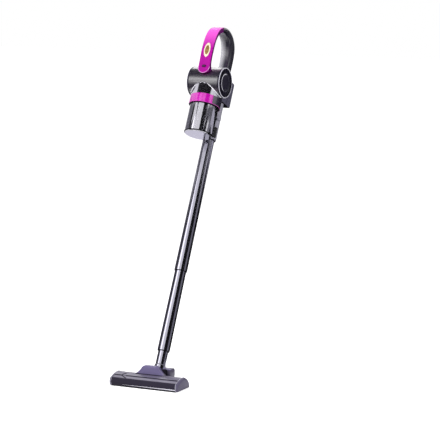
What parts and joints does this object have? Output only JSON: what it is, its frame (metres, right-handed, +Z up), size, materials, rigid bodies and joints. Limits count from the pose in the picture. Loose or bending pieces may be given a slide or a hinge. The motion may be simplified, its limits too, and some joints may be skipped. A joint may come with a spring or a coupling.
{
  "type": "cordless stick vacuum",
  "caption": "Leaning cordless stick vacuum with a looped handle, crosswise motor barrel, clear dust cup, plug-in wand tubes and a pitching, swivelling floor head.",
  "frame": {"origin": "on the sole of the floor head, on the flat land behind the suction slot, midway across", "axes": "+Z up from the floor, +X to the right across the floor head, front towards -Y; the stick leans back towards +Y"},
  "size_m": [0.225, 0.574, 1.0147],
  "materials": {
    "case_gloss": "dark graphite gloss moulding",
    "vent_dark": "dark violet-black moulding",
    "magenta": "glossy magenta moulding",
    "gold_inlay": "plain gold-coloured inlay",
    "clear_cup": "clear smoke-violet plastic",
    "socket_pale": "pale violet-grey gloss moulding",
    "grip_dark": "dark satin grip",
    "rear_shell": "violet-grey gloss moulding",
    "tube_metal": "gunmetal lacquered tube",
    "black_plastic": "black moulding",
    "filter_cloth": "pleated grey-green filter medium",
    "soft_black": "black soft seal",
    "foam_grey": "dark open foam",
    "motor_metal": "machined light metal",
    "board_green": "circuit board",
    "head_violet": "violet-grey gloss moulding",
    "head_front": "dark violet gloss strip",
    "cap_violet": "violet-grey satin moulding",
    "steel": "bright steel"
  },
  "bodies": {
    "main_body": {"motor_case": "case_gloss", "vent_cap_right": "vent_dark", "vent_cap_left": "vent_dark", "vent_disc_right": "vent_dark", "vent_disc_left": "vent_dark", "exhaust_foam": "foam_grey", "motor": "motor_metal", "motor_mount": "soft_black", "collar_ring": "magenta", "cup_gasket": "soft_black", "grip": "grip_dark", "strap": "magenta", "strap_inset": "gold_inlay", "rear_housing": "rear_shell", "control_board": "board_green", "wand_socket": "socket_pale", "button_spring": "steel", "latch_pin": "steel"},
    "rotor": {"motor_shaft": "steel", "impeller": "black_plastic"},
    "cup": {"dust_cup": "clear_cup"},
    "filter": {"filter_frame": "black_plastic", "filter_ring": "black_plastic", "filter_element": "filter_cloth"},
    "power_key": {"power_button": "black_plastic"},
    "wand_release": {"wand_button": "black_plastic"},
    "latch": {"cup_latch": "black_plastic"},
    "battery": {"battery_pack": "rear_shell", "battery_cells": "motor_metal", "charging_socket": "black_plastic"},
    "upper_wand": {"upper_tube": "tube_metal"},
    "lower_wand": {"lower_tube": "tube_metal"},
    "neck": {"neck_tube": "tube_metal"},
    "neck_elbow": {"elbow": "black_plastic", "neck_seal": "soft_black"},
    "floor_head": {"head_shell": "head_violet", "front_strip": "head_front", "end_cap_right": "cap_violet", "end_cap_left": "cap_violet", "base_plate": "black_plastic", "lint_strips": "foam_grey", "head_screws": "steel", "hinge_pins": "steel", "wheel_axles": "steel"},
    "right_wheel": {"wheel_right": "soft_black"},
    "left_wheel": {"wheel_left": "soft_black"}
  },
  "joints": [
    {"name": "impeller_spin", "type": "hinge", "parent": "main_body", "child": "rotor", "pos_m": [0, 0.38144, 0.85279], "axis": [1, 0, 0], "continuous": true},
    {"name": "cup_pull", "type": "slide", "parent": "main_body", "child": "cup", "axis": [0, -0.4478, -0.8942], "range_m": [0, 0.095]},
    {"name": "filter_twist", "type": "hinge", "parent": "main_body", "child": "filter", "pos_m": [0, 0.35234, 0.79467], "axis": [0, 0.4478, 0.8942], "range_deg": [0, 30]},
    {"name": "power_press", "type": "slide", "parent": "main_body", "child": "power_key", "axis": [0, 0.8942, -0.4478], "range_m": [0, 0.0012], "stiffness_N_per_m": 400},
    {"name": "wand_release_press", "type": "slide", "parent": "main_body", "child": "wand_release", "axis": [-0.866, 0.4471, -0.2239], "range_m": [0, 0.0015], "stiffness_N_per_m": 500},
    {"name": "latch_swing", "type": "hinge", "parent": "main_body", "child": "latch", "pos_m": [0.0205, 0.38496, 0.75038], "axis": [-1, 0, 0], "range_deg": [0, 10], "stiffness_Nm_per_rad": 0.05},
    {"name": "battery_slide", "type": "slide", "parent": "main_body", "child": "battery", "axis": [0, 0.8942, -0.4478], "range_m": [0, 0.035]},
    {"name": "upper_tube_pull", "type": "slide", "parent": "main_body", "child": "upper_wand", "axis": [0, -0.4478, -0.8942], "range_m": [0, 0.07]},
    {"name": "lower_tube_pull", "type": "slide", "parent": "upper_wand", "child": "lower_wand", "axis": [0, -0.4478, -0.8942], "range_m": [0, 0.07]},
    {"name": "neck_pull", "type": "slide", "parent": "lower_wand", "child": "neck", "axis": [0, -0.4478, -0.8942], "range_m": [0, 0.055]},
    {"name": "neck_swivel", "type": "hinge", "parent": "neck", "child": "neck_elbow", "pos_m": [0, 0.05, 0.029], "axis": [0, 0.4478, 0.8942], "range_deg": [-90, 90]},
    {"name": "head_pitch", "type": "hinge", "parent": "neck_elbow", "child": "floor_head", "pos_m": [0, 0.05, 0.029], "axis": [1, 0, 0], "range_deg": [-26, 50]},
    {"name": "right_wheel_spin", "type": "hinge", "parent": "floor_head", "child": "right_wheel", "pos_m": [0.068, 0.02, 0.0092], "axis": [1, 0, 0], "continuous": true},
    {"name": "left_wheel_spin", "type": "hinge", "parent": "floor_head", "child": "left_wheel", "pos_m": [-0.068, 0.02, 0.0092], "axis": [1, 0, 0], "continuous": true}
  ]
}
